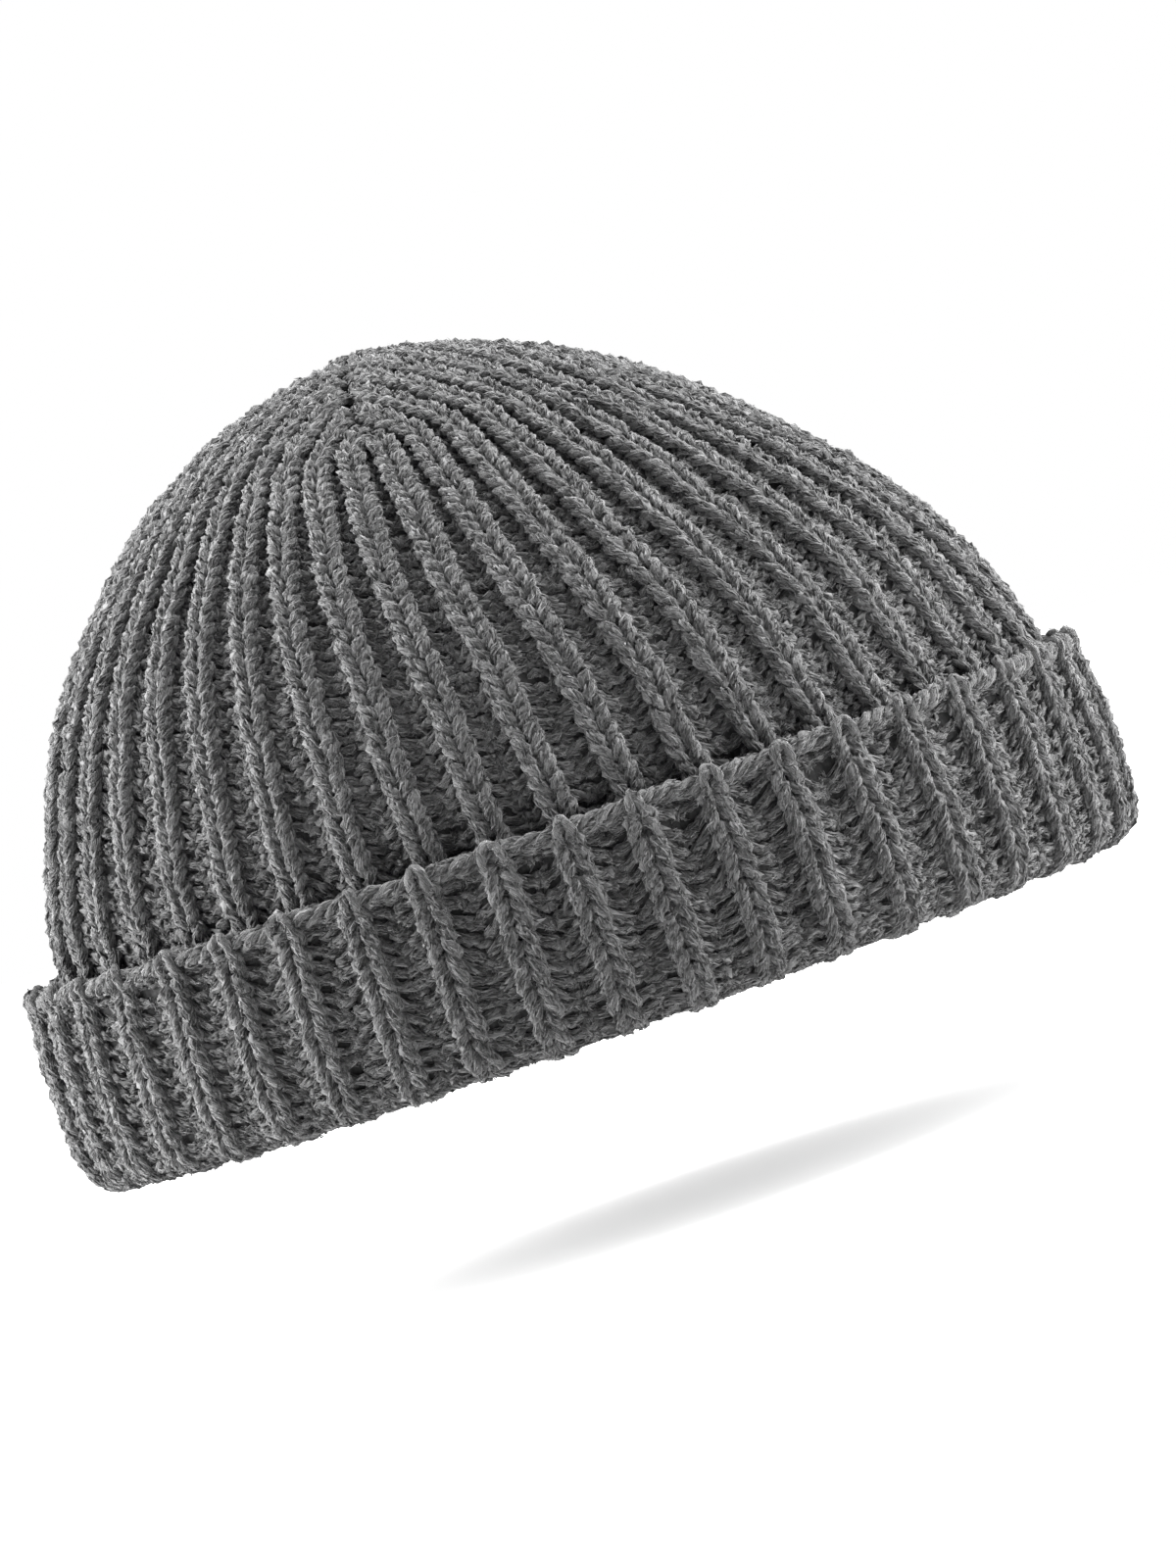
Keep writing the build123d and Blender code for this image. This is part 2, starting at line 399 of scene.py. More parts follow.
class Tubes:
    """Collects yarns along paths into one mesh: closed tubes with plies that wind round them."""

    def __init__(self):
        self.points, self.quads, self.caps, self.quad_uvs, self.cap_uvs = [], [], [], [], []
        self.depths = []
        self.count = 0
        self.random = np.random.default_rng(YARN_SEED)

    def add(self, path, up, radius, start_length=0.0, lift=None):
        """One yarn. up is roughly square to its path, lift its height in the fabric.

        start_length moves the plies and the wool along, so that no two yarns match."""
        rows, sides = len(path), TUBE_SIDES
        path = path + smooth(ROUGH * self.random.normal(size=(rows, 3)), 1)
        _, side, top = cross_frame(path, up)
        lengths = start_length + run_lengths(path)
        around = TURN * (np.arange(sides) / sides + TWIST * lengths[:, None])
        ring = side[:, None] * np.cos(around)[..., None] + top[:, None] * np.sin(around)[..., None]
        plies = 1 + PLY * np.cos(math.pi * np.arange(sides))
        lumps = 1 + LUMPS * self.random.normal(size=(rows, sides))
        thick = np.reshape(radius, (-1, 1)) * np.ones((rows, 1)) * plies * lumps
        self.points.append((path[:, None] + ring * thick[..., None]).reshape(-1, 3))
        # Painted shade: points low in the fabric and on the yarn's underside get a low depth, which
        # the wool paints darker.
        height = CORD_HEIGHT if lift is None else lift[:, None] + thick * np.sin(around)
        self.depths.append(painted_shade_depth(height * np.ones((rows, sides))).ravel())
        self.add_faces(rows, lengths)

    def add_faces(self, rows, lengths):
        """The faces of the last yarn, with its two ends closed."""
        sides = TUBE_SIDES
        row, step = np.meshgrid(np.arange(rows - 1), np.arange(sides), indexing="ij")
        after = (step + 1) % sides
        here, there = row * sides, (row + 1) * sides
        quads = np.stack([here + step, here + after, there + after, there + step], -1)
        self.quads.append(quads.reshape(-1, 4) + self.count)
        low, high = step / sides, (step + 1) / sides
        near, far = lengths[row], lengths[row + 1]
        uv = np.stack([low, near, high, near, high, far, low, far], -1)
        self.quad_uvs.append(uv.reshape(-1, 2) * UV_SCALE)
        first = np.arange(sides)[::-1] + self.count
        last = np.arange(sides) + self.count + (rows - 1) * sides
        self.caps.append(np.stack([first, last]))
        ends = [[0.5, lengths[0]], [0.5, lengths[-1]]]
        self.cap_uvs.append(np.repeat(ends, sides, axis=0) * UV_SCALE)
        self.count += rows * sides

    def piece(self, name, material):
        """The mesh object of all the yarns."""
        faces = [np.concatenate(self.quads), np.concatenate(self.caps)]
        uvs = np.concatenate(self.quad_uvs + self.cap_uvs)
        points, depths = np.concatenate(self.points), np.concatenate(self.depths)
        return make_piece(name, points, faces, uvs, material, depths)


# ------------------------------------------------------------------ the knit
def spline(points, steps):
    """Catmull-Rom points through rows of points, steps to each stretch."""
    points = np.array(points, float)
    padded = np.concatenate([2 * points[:1] - points[1:2], points, 2 * points[-1:] - points[-2:-1]])
    out = []
    for i in range(len(points) - 1):
        p0, p1, p2, p3 = padded[i:i + 4]
        for t in np.arange(steps) / steps:
            bend = 2 * p0 - 5 * p1 + 4 * p2 - p3
            twist = 3 * p1 - p0 - 3 * p2 + p3
            out.append(0.5 * (2 * p1 + (p2 - p0) * t + bend * t * t + twist * t ** 3))
    out.append(points[-1])
    return np.array(out)


def rib_pattern():
    """One whole rib, inner ridge to inner ridge, as columns of STITCH, with a mirrored left half."""
    right = np.array(STITCH)
    left = right[:0:-1] * (-1, -1, 1, 1, 1)
    return spline(np.concatenate([left, right]), STEPS)


RIB = rib_pattern()


class Jitter:
    """Small unevenness of each stitch, the same on every run."""

    def __init__(self, seed, courses):
        drifts = courses // DRIFT_COURSES
        noise = np.random.default_rng(seed).normal(size=(4, courses, 2 * RIBS))
        slow = np.random.default_rng(seed + 1).normal(size=(4, drifts + 2, 2 * RIBS))
        rows = np.linspace(0, drifts + 1, courses)
        low = rows.astype(int).clip(0, drifts)
        part = (rows - low)[None, :, None]
        self.noise = noise + DRIFT * (slow[:, low] * (1 - part) + slow[:, low + 1] * part)

    def at(self, course, ribs):
        """Four random values for places counted in ribs round the hat."""
        place = (ribs * 2) % (2 * RIBS)
        low = np.floor(place).astype(int) % (2 * RIBS)
        part = place - np.floor(place)
        ease = part * part * (3 - 2 * part)
        values = self.noise[:, course]
        return values[:, low] * (1 - ease) + values[:, (low + 1) % (2 * RIBS)] * ease


def flat_lift(wall, s):
    """1 where the ribs stand at their full height, and less where the hem presses them flat."""
    if wall is CAP:
        return 1.0 + 0 * s
    return 1 - HEM_FLATTENING * np.exp(-(((s - HEM_AT) / HEM_REACH) ** 2))


def rib_row():
    """The columns of a whole course of one gore, and the rib that each of its points is in."""
    ribs = np.arange(RIBS_PER_GORE) - RIBS_PER_GORE // 2
    pattern = np.concatenate([RIB[:-1]] * RIBS_PER_GORE + [RIB[-1:]])
    rib = np.append(np.repeat(ribs, len(RIB) - 1), ribs[-1])
    return rib, pattern.T


def hang_at(wall, s, droop):
    """How far the bars between the ridges hang at s, in mm: less near both ends."""
    from_hem = np.clip((s - HEM_AT) / DROOP_FROM_HEM, 0, 1)
    from_top = np.clip((wall.length - s) / DROOP_FROM_TOP, 0, 1)
    return droop * from_hem * from_top


def course_in_gore(wall, s, gore, way, droop, shakes):
    """Path, normals, thickness and height in the fabric of one course across one gore.

    way is 1 where the knitting goes up the wall and -1 where it comes down."""
    rib, (half, offset, rise, lift, thick) = rib_row()
    middle = (gore + 0.5) / GORES
    shake = shakes(middle * RIBS + rib + half / 2)
    sway = np.sin(math.pi * half / 2) ** 2
    uneven = (SHAKE_RISE + SHAKE_BARS * sway) * shake[0]
    s_here = s + way * (rise + uneven) * COURSE - hang_at(wall, s, droop) * sway
    width = wall.rib_at(s_here)
    girth = wall.girth_at(s_here)
    draw_in = np.clip(width / FREE_RIB, DRAWN_IN, 1.0)
    across = (rib + half / 2) * width + offset * draw_in + SHAKE_ACROSS * shake[1]

    edge = girth / (2 * GORES)
    tight = np.clip((RIBS * width / girth - 1) * DART_ONSET, 0, 1)
    kept = np.abs(across) <= edge + DART_OVERLAP - DART_GAP * tight
    near_dart = 1 - np.clip((edge - np.abs(across)) / DART_REACH, 0, 1)
    dip = DART_DIP * near_dart ** 2 * tight
    lift = lift * flat_lift(wall, s_here) + SHAKE_LIFT * shake[2] - dip
    point, normal = wall.place(s_here, middle + across / girth, lift)
    radius = YARN * thick * (1 + SHAKE_RADIUS * shake[3])
    cut = slice(np.argmax(kept), len(kept) - np.argmax(kept[::-1]))
    return point[cut], normal[cut], radius[cut], lift[cut]


class Fuzz:
    """Collects loose fibres: bent slivers that wind along a yarn and lift off it at one end."""

    # The four triangles of a sliver, which close it.
    FACES = np.array([[0, 2, 1], [3, 1, 2], [0, 1, 3], [0, 3, 2]])

    def __init__(self, seed):
        self.random = np.random.default_rng(seed)
        self.points, self.tones = [], []

    def add(self, path, up, radius, density, lift=None):
        """Fibres along one yarn where it shows, density of them on each mm."""
        draw = self.random
        if lift is None:
            lift = np.full(len(path), CORD_FUZZ_HEIGHT)
        ends = len(path) - 2 * FIBRE_STRIDES[-1]
        shown = np.flatnonzero(lift[:max(ends, 0)] > FUZZ_FLOOR)
        count = int(run_lengths(path)[-1] * density * len(shown) / len(path))
        if count == 0:
            return
        start = draw.choice(shown, count)
        stride = draw.choice(FIBRE_STRIDES, count)
        angle = draw.uniform(-FIBRE_SPREAD, FIBRE_SPREAD, count)
        wind = draw.normal(*FIBRE_WIND, count)
        loose = draw.random(count) < LOOSE_FIBRES
        lie = draw.uniform(*FIBRE_LIE, (3, count))
        rise = lie + loose * draw.uniform(0.0, LOOSE_RISE, (3, count))
        rise[0] = 0.0
        _, side, top = cross_frame(path, up)
        nodes = []
        for step in range(3):
            at = start + step * stride
            turn = (angle + wind * step)[:, None]
            out = top[at] * np.cos(turn) + side[at] * np.sin(turn)
            nodes.append(path[at] + out * (radius[at] + rise[step])[:, None])
        thin = draw.uniform(THINNEST_FIBRE, 1.0, count)[:, None] * FIBRE_RADIUS
        self.points.append(self.slivers(nodes, thin))
        # Painted shade: fibres lower in the fabric or on the yarn's underside get darker tones.
        depth = painted_shade_depth(lift[start] + np.cos(angle))
        tone = TONE_SPREAD * draw.random(count) + PAINTED_SHADE_BY_DEPTH * depth - TONE_DROP
        self.tones.append(np.clip(tone, 0.01, 0.99))

    @staticmethod
    def slivers(nodes, thin):
        """Four points to a fibre: its two ends and both sides of its bend."""
        start, bend, end = nodes
        chord = end - start
        across = unit(np.cross(chord, bend - 0.5 * (start + end))) * thin
        return np.stack([start, bend + across, bend - across, end], axis=1)

    def piece(self, name, material):
        """The mesh object of all the fibres, with the tone of each in its first uv: random, with
        painted shade by depth.
        """
        points, tones = np.concatenate(self.points), np.concatenate(self.tones)
        faces = (4 * np.arange(len(points))[:, None, None] + self.FACES).reshape(-1, 3)
        shades = np.repeat(tones, self.FACES.size)
        uvs = np.stack([shades, 0 * shades], -1)
        return make_piece(name, points.reshape(-1, 3), [faces], uvs, material)


def knit(name, wall, gore, courses, starts, way, droop, jitter, fuzz):
    """One piece of knit, some courses of one gore, with the fuzz that grows on it."""
    tubes = Tubes()
    for course in courses:
        shakes = partial(jitter.at, course)
        path, normal, radius, lift = course_in_gore(wall, starts[course], gore, way, droop, shakes)
        if len(path) > 3:
            tubes.add(path, normal, radius, 37.0 * course + 11.0 * gore, lift)
            fuzz.add(path, normal, radius, FIBRES_PER_MM, lift)
    return tubes.piece(name, YARN_WOOL)


def web(name, wall, material):
    """The fuzz that closes the knit between its yarns: a thin closed layer in its middle."""
    rounds = WEB_STEPS * RIBS
    rows = int(wall.length / WEB_ROW)
    along = np.linspace(0, wall.length, rows)
    s, part = np.meshgrid(along, np.arange(rounds) / rounds, indexing="ij")
    girth, width = wall.girth_at(s), wall.rib_at(s)
    gore = np.floor(part * GORES)
    rib = ((part - (gore + 0.5) / GORES) * girth) / width
    wave = WEB_WAVE * np.cos(TURN * rib)
    outer, _ = wall.place(s, part, wave + WEB_HALF)
    inner, _ = wall.place(s, part, wave - WEB_HALF)
    faces = closed_layer(rows, rounds)
    uvs = np.tile([[0.0, 0.0], [0.1, 0.0], [0.1, 0.1], [0.0, 0.1]], (len(faces), 1))
    points = np.concatenate([outer.reshape(-1, 3), inner.reshape(-1, 3)])
    return make_piece(name, points, [faces], uvs, material)


def closed_layer(rows, rounds):
    """The faces of two rings of rows x rounds points, joined at their lower and upper rims."""
    count = rows * rounds
    row, step = np.meshgrid(np.arange(rows - 1), np.arange(rounds), indexing="ij")
    after = (step + 1) % rounds
    here, there = row * rounds, (row + 1) * rounds
    quads = np.stack([here + step, here + after, there + after, there + step], -1).reshape(-1, 4)
    edge = np.arange(rounds)
    next_edge = (edge + 1) % rounds
    bottom_rim = np.stack([next_edge, edge, edge + count, next_edge + count], -1)
    top_edge, next_top = (ring + (rows - 1) * rounds for ring in (edge, next_edge))
    top_rim = np.stack([top_edge, next_top, count + next_top, count + top_edge], -1)
    return np.concatenate([quads, quads[:, ::-1] + count, bottom_rim, top_rim])


# ------------------------------------------------------------------ materials
class Material:
    """A procedural material, built one node at a time."""

    def __init__(self, name, colour, roughness):
        self.material = bpy.data.materials.new(name)
        self.material.use_nodes = True
        self.tree = self.material.node_tree
        self.shader = self.tree.nodes["Principled BSDF"]
        self.shader.inputs["Base Color"].default_value = (*colour, 1)
        self.shader.inputs["Roughness"].default_value = roughness

    def constant(self, **values):
        """Sets the shader's own sockets, with _ for the blanks in their names."""
        for name, value in values.items():
            self.shader.inputs[name.replace("_", " ")].default_value = value

    def node(self, kind, **inputs):
        """A node, with its inputs set to numbers or joined to sockets."""
        node = self.tree.nodes.new(kind)
        for name, value in inputs.items():
            self.feed(node.inputs[name.replace("_", " ")], value)
        return node

    def feed(self, socket, value):
        """Joins a socket to another, or sets its number."""
        if isinstance(value, bpy.types.NodeSocket):
            self.tree.links.new(value, socket)
        else:
            socket.default_value = value

    def maths(self, operation, *values):
        """The result of one operation on sockets and numbers."""
        node = self.tree.nodes.new("ShaderNodeMath")
        node.operation = operation
        for socket, value in zip(node.inputs, values):
            self.feed(socket, value)
        return node.outputs[0]

    def weigh(self, *pairs):
        """The sum of values, each times its weight."""
        total = 0.0
        for value, weight in pairs:
            total = self.maths("MULTIPLY_ADD", value, weight, total)
        return total

    def ramp(self, value, *stops):
        """Colours at positions from 0 to 1."""
        node = self.node("ShaderNodeValToRGB", Fac=value)
        ramp = node.color_ramp
        while len(ramp.elements) < len(stops):
            ramp.elements.new(0.5)
        for element, (position, colour) in zip(ramp.elements, stops):
            element.position = position
            element.color = (*colour, 1)
        return node.outputs["Color"]

    def yarn_place(self):
        """u round the yarn and v along it in cm, as two sockets."""
        uv = self.tree.nodes.new("ShaderNodeUVMap")
        uv.uv_map = "yarn"
        parts = self.node("ShaderNodeSeparateXYZ", Vector=uv.outputs["UV"])
        return parts.outputs["X"], parts.outputs["Y"]

    def noise(self, vector, scale, detail, roughness=0.5):
        """Noise from 0 to 1."""
        inputs = {"Vector": vector, "Scale": scale, "Detail": detail, "Roughness": roughness}
        return self.node("ShaderNodeTexNoise", **inputs).outputs["Fac"]

    def bump(self, height, distance):
        """Relief, with distance in m for a height of 1."""
        node = self.node("ShaderNodeBump", Height=height, Strength=1.0, Distance=distance)
        self.tree.links.new(node.outputs["Normal"], self.shader.inputs["Normal"])


def grey(value):
    """A charcoal grey, a trace bluer than neutral."""
    return (value, value, value * 1.015)


def wool(name, dark, middle, light, plain=False):
    """Heathered wool: dark and light fibres wind round the yarn, and the tone drifts slowly. Painted
    shade makes it darker lower in the fabric and on each yarn's underside.

    plain leaves out the relief."""
    made = Material(name, grey(middle), 0.95)
    u, v = made.yarn_place()
    angle = made.maths("MULTIPLY", u, TURN)
    cosine, sine = made.maths("COSINE", angle), made.maths("SINE", angle)
    spot = made.node("ShaderNodeCombineXYZ", X=cosine, Y=sine, Z=v).outputs["Vector"]
    place = made.tree.nodes.new("ShaderNodeTexCoord").outputs["Object"]
    depth = made.tree.nodes.new("ShaderNodeAttribute")
    depth.attribute_name = "depth"

    fibres = made.noise(spot, 3.6, 3.0, 0.6)
    flecks = made.noise(place, 1100.0, 2.0)
    drift = made.noise(place, 110.0, 1.0)
    # The depth term is painted shade: yarn lower in the fabric is darker.
    tone = made.weigh((fibres, 0.66), (flecks, 0.3), (drift, 0.12), (depth.outputs["Fac"], 0.10))
    colour = made.ramp(tone, (0.42, grey(dark)), (0.57, grey(middle)), (0.72, grey(light)))
    made.tree.links.new(colour, made.shader.inputs["Base Color"])
    if not plain:
        made.bump(fibres, 0.0017)
    made.constant(Sheen_Weight=0.6, Sheen_Roughness=0.5, Specular_IOR_Level=0.08)
    return made.material


def loose_fibres(name, *stops):
    """Single fibres, each with a tone of its own, held in the first uv."""
    made = Material(name, grey(0.1), 0.85)
    tone, _ = made.yarn_place()
    colour = made.ramp(tone, *[(position, grey(value)) for position, value in stops])
    made.tree.links.new(colour, made.shader.inputs["Base Color"])
    made.constant(Sheen_Weight=0.4, Sheen_Roughness=0.6, Specular_IOR_Level=0.05)
    return made.material


def satin(name, colour):
    """Woven satin tape: fine threads across it and a soft shine."""
    made = Material(name, colour, 0.42)
    across, along = made.yarn_place()
    weft = made.maths("SINE", made.maths("MULTIPLY", along, TURN * 28))
    warp = made.maths("SINE", made.maths("MULTIPLY", across, TURN * 20))
    weave = made.weigh((weft, 0.5), (warp, 0.3))
    tint = made.ramp(made.weigh((weave, 0.3), (0.5, 1.0)),
                     (0.3, tuple(0.86 * part for part in colour)), (0.7, colour))
    made.tree.links.new(tint, made.shader.inputs["Base Color"])
    made.bump(weave, 0.00006)
    made.constant(Sheen_Weight=0.25, Anisotropic=0.5, Specular_IOR_Level=0.5)
    return made.material


def thread(name, colour):
    """Smooth spun sewing thread."""
    made = Material(name, colour, 0.6)
    around, along = made.yarn_place()
    strand = made.maths("SINE", made.weigh((around, TURN * 3), (along, TURN * 2)))
    made.bump(strand, 0.00005)
    made.constant(Sheen_Weight=0.2, Specular_IOR_Level=0.35)
    return made.material


YARN_WOOL = wool("wool_yarn", 0.008, 0.055, 0.20)
# Painted shade: the web is the same wool in far darker tones, for the shade deep between the yarns.
PAINTED_SHADE_WEB_WOOL = wool("wool_web_painted_shade", 0.006, 0.016, 0.05, plain=True)
FIBRE_WOOL = loose_fibres("wool_fibre", (0.0, 0.004), (0.45, 0.032), (0.8, 0.105), (1.0, 0.20))
LABEL_SATIN = satin("label_satin", (0.72, 0.71, 0.69))
SEWING_THREAD = thread("sewing_thread", (0.06, 0.06, 0.065))


# --------------------------------------------------------------------- pieces
def settle(pieces, body, slot, *nodes):
    """Pieces that ride a body and stand for CAD nodes; the finish slot is not used."""
    for piece in pieces:
        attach(piece, body)
        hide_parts(*nodes)


def hold_hem(pieces):
    """Pieces of the cap's foot, with their placing baked into their points and riding no body, in
    place of the knit_body node.
    """
    for piece in pieces:
        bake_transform(piece)
        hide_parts("knit_body")


def make_cap():
    """The cap's knit, in one low and two higher bands of each gore."""
    courses = int(CAP.length / COURSE) + 1
    starts = np.arange(courses) * COURSE + 0.5
    jitter = Jitter(CAP_SEED, courses)
    low, high = int(courses * CAP_BANDS[0]), int(courses * CAP_BANDS[1])
    bands = {"foot": range(0, low), "wall": range(low, high), "crown": range(high, courses)}
    pieces = {band: [] for band in bands}
    for gore in range(GORES):
        for band, rows in bands.items():
            fuzz = Fuzz(CAP_FUZZ_SEED + gore)
            made = knit(f"cap_{band}_{gore + 1}", CAP, gore, rows, starts, 1, CAP_DROOP, jitter, fuzz)
            pieces[band].append(made)
            pieces[band].append(fuzz.piece(f"cap_{band}_fuzz_{gore + 1}", FIBRE_WOOL))
    hold_hem(pieces["foot"] + [web("cap_web", CAP, PAINTED_SHADE_WEB_WOOL)])
    settle(pieces["wall"] + pieces["crown"], "hat_body", "yarn", "knit_body")


def make_cuff():
    """The turned-up cuff and the fold of the hem, knitted on from the cap's foot."""
    courses = int(CUFF.length / COURSE) + 1
    starts = CUFF.length - np.arange(courses) * COURSE
    jitter = Jitter(CUFF_SEED, courses)
    pieces = [web("cuff_web", CUFF, PAINTED_SHADE_WEB_WOOL)]
    for gore in range(GORES):
        fuzz = Fuzz(CUFF_FUZZ_SEED + gore)
        name = f"cuff_knit_{gore + 1}"
        pieces.append(knit(name, CUFF, gore, range(courses), starts, -1, CUFF_DROOP, jitter, fuzz))
        pieces.append(fuzz.piece(f"cuff_fuzz_{gore + 1}", FIBRE_WOOL))
    settle(pieces, "cuff", "yarn", "cuff_outer", "hem_fold")


def lay_cord(wall, tubes, fuzz):
    """The cast-on cord: strands that twist round each other and wander a little."""
    part = np.linspace(0, 1, RIBS * 20 + 1)
    wobble = 0.25 * np.sin(TURN * (part * 19 + 0.3)) + 0.2 * np.sin(TURN * (part * 41 + 0.7))
    for strand in np.arange(CORD_STRANDS) / CORD_STRANDS:
        turn = TURN * (part * RIBS * CORD_TWIST + strand) + 1.6 * wobble
        height = CORD_AT + CORD_RISE * np.sin(turn) + wobble
        path, normal = wall.place(height, part, CORD_LIFT * np.cos(turn))
        radius = EDGE_YARN * (1 + 0.15 * np.sin(TURN * part * 29 + strand * 9))
        tubes.add(path, normal, radius, 500 * strand)
        fuzz.add(path, normal, radius, CORD_FIBRES)


def wrap_cord(wall, tubes, fuzz):
    """A stitch over the cord at each rib, no two quite alike."""
    random = np.random.default_rng(EDGE_SEED)
    for rib in range(RIBS):
        shake = random.normal(size=4) * 0.2
        across, up, out = spline(ARCH, 4).T
        place = (rib + 0.5) / RIBS + (across * (1 + shake[0]) + 1.5 * shake[1]) / wall.girth[0]
        path, normal = wall.place(EDGE_STRIP + up * (1 + 0.5 * shake[2]), place, out)
        radius = np.full(len(path), EDGE_YARN + 0.1 * shake[3])
        tubes.add(path, normal, radius, 800 + 21 * rib)
        fuzz.add(path, normal, radius, ARCH_FIBRES)


def make_cast_on_edge():
    """The cast-on row: a cord of three strands, with a stitch over it at each rib."""
    low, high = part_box("cast_on_edge")
    thick = (high.z - low.z) / MM / 2
    a, b = high.x / MM - thick, high.y / MM - thick
    middle = (high.z + low.z) / MM / 2
    wall = Wall([[a, a], [b, b], [0, 0], [middle - EDGE_STRIP, middle + EDGE_STRIP]])
    tubes, fuzz = Tubes(), Fuzz(EDGE_FUZZ_SEED)
    lay_cord(wall, tubes, fuzz)
    wrap_cord(wall, tubes, fuzz)
    pieces = [tubes.piece("cast_on_cord", YARN_WOOL), fuzz.piece("cast_on_fuzz", FIBRE_WOOL)]
    settle(pieces, "cuff", "yarn", "cast_on_edge")


def make_crown_closure():
    """The last stitches, gathered on a drawn yarn, which winds in a spiral under them."""
    low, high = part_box("crown_closure")
    centre = np.array([(low.x + high.x) / 2, (low.y + high.y) / 2, high.z]) / MM
    tubes, fuzz = Tubes(), Fuzz(CLOSURE_FUZZ_SEED)
    random = np.random.default_rng(CLOSURE_SEED)
    for petal in range(GATHERS):
        angle = TURN * (petal + 0.25 * random.random()) / GATHERS
        radial, height, thick = spline(GATHER, 4).T
        swirl = angle + 0.5 * (1 - radial / radial[0])
        path = np.stack([radial * np.cos(swirl), radial * np.sin(swirl), height], -1) + centre
        up = np.stack([np.cos(swirl), np.sin(swirl), 0 * swirl + 2], -1)
        tubes.add(path, up, thick, 60 * petal)
        fuzz.add(path, up, thick, GATHER_FIBRES)
    turn = np.linspace(0, 3, 60)
    reach = 4.6 * (1 - turn / 3.15)
    spiral = np.stack([reach * np.cos(TURN * turn), reach * np.sin(TURN * turn), 0 * turn - 3.6], -1)
    tubes.add(spiral + centre, np.tile([0, 0, 1.0], (60, 1)), np.full(60, 1.0), 900)
    pieces = [tubes.piece("closure_knit", YARN_WOOL), fuzz.piece("closure_fuzz", FIBRE_WOOL)]
    settle(pieces, "hat_body", "yarn", "crown_closure")


def centre_line(name, levels=14):
    """The middle of a long CAD node, from its lowest end to its highest, in mm."""
    points = np.array([vertex.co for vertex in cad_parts[name].data.vertices]) / MM
    start, end = points[points[:, 2].argmin()], points[points[:, 2].argmax()]
    along = (points - start) @ (end - start) / ((end - start) @ (end - start))
    middles = []
    for low in np.arange(levels) / levels:
        inside = (along >= low) & (along < low + 1 / levels)
        if inside.any():
            middles.append(points[inside].mean(0))
    return spline(middles, 8)


def make_seam(name):
    """A linked seam on the inside: two strands twisted along it, with stitches over them."""
    line = centre_line(name)
    inward = np.array(INSIDE) - line
    _, side, top = cross_frame(line, inward)
    lengths = run_lengths(line)
    tubes = Tubes()
    for strand in (0.0, 0.5):
        turn = TURN * (lengths / SEAM_LAY + strand)[:, None]
        path = line + SEAM_TWIST * (side * np.cos(turn) + top * np.sin(turn))
        tubes.add(path, top, np.full(len(line), SEAM_STRAND), 300 * strand)
    sweep = np.linspace(-0.35, math.pi + 0.35, 9)[:, None]
    for at in np.arange(2.0, lengths[-1] - 2.0, SEAM_STITCH):
        spot = int(np.searchsorted(lengths, at))
        ahead = (line[spot + 1] - line[spot]) / np.linalg.norm(line[spot + 1] - line[spot])
        round_it = side[spot] * np.cos(sweep) + top[spot] * np.sin(sweep)
        path = line[spot] + STITCH_REACH * round_it + ahead * sweep
        tubes.add(path, path - line[spot], np.full(len(path), STITCH_RADIUS), 17 * at)
    return tubes.piece(f"{name}_cord", YARN_WOOL)


def make_care_label():
    """A blank satin tape folded double, 26 mm wide, its two ends sewn in at the top."""
    low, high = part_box("care_label")
    half = (high.x - low.x) / MM / 2 - LABEL_ROOM
    centre_x, width = (low.x + high.x) / MM / 2, (high.y - low.y) / MM
    top, bottom = high.z / MM, low.z / MM
    bend = np.linspace(0, math.pi, 13)
    straight = np.linspace(top, bottom + half + LABEL_ROOM, 34)
    x = np.concatenate([0 * straight - half, -half * np.cos(bend[1:-1]), 0 * straight + half])
    fold = bottom + LABEL_ROOM + half - half * np.sin(bend[1:-1])
    z = np.concatenate([straight, fold, straight[::-1]])
    y = np.linspace(-width / 2, width / 2, 27)
    hang, across = np.meshgrid((top - z) / (top - bottom), y, indexing="ij")
    curl = 0.35 * np.sin(3.0 * hang) * np.cos(across * 0.13) + 0.12 * np.sin(across * 0.5 + 4 * hang)
    middle = np.stack([centre_x + x[:, None] + curl * hang, across, z[:, None] + 0 * across], -1)
    ahead, _, _ = cross_frame(middle[:, 13], np.tile([0, 1.0, 0], (len(z), 1)))
    normal = np.cross(ahead, [0, 1.0, 0])[:, None]
    skins = np.concatenate([(middle + LABEL_HALF * normal).reshape(-1, 3),
                            (middle - LABEL_HALF * normal).reshape(-1, 3)])
    label = closed_sheet("care_label_tape", skins, len(z), len(y), LABEL_SATIN)
    settle([label], "hat_body", "label_satin", "care_label")


def closed_sheet(name, skins, rows, columns, material):
    """A thin closed sheet from two skins of rows x columns points."""
    count = rows * columns
    row, column = np.meshgrid(np.arange(rows - 1), np.arange(columns - 1), indexing="ij")
    here = (row * columns + column).ravel()
    front = np.stack([here, here + 1, here + columns + 1, here + columns], -1)
    edge = np.concatenate([
        np.arange(columns - 1),
        np.arange(rows - 1) * columns + columns - 1,
        count - 1 - np.arange(columns - 1),
        (rows - 1 - np.arange(rows - 1)) * columns,
    ])
    after = np.roll(edge, -1)
    rim = np.stack([after, edge, edge + count, after + count], -1)
    faces = np.concatenate([front, front[:, ::-1] + count, rim])
    place = np.stack(np.meshgrid(np.arange(rows) * 0.1, np.arange(columns) * 0.1, indexing="ij"), -1)
    uvs = np.tile(place.reshape(-1, 2)[:, ::-1], (2, 1))[faces.ravel()]
    return make_piece(name, skins, [faces], uvs, material)


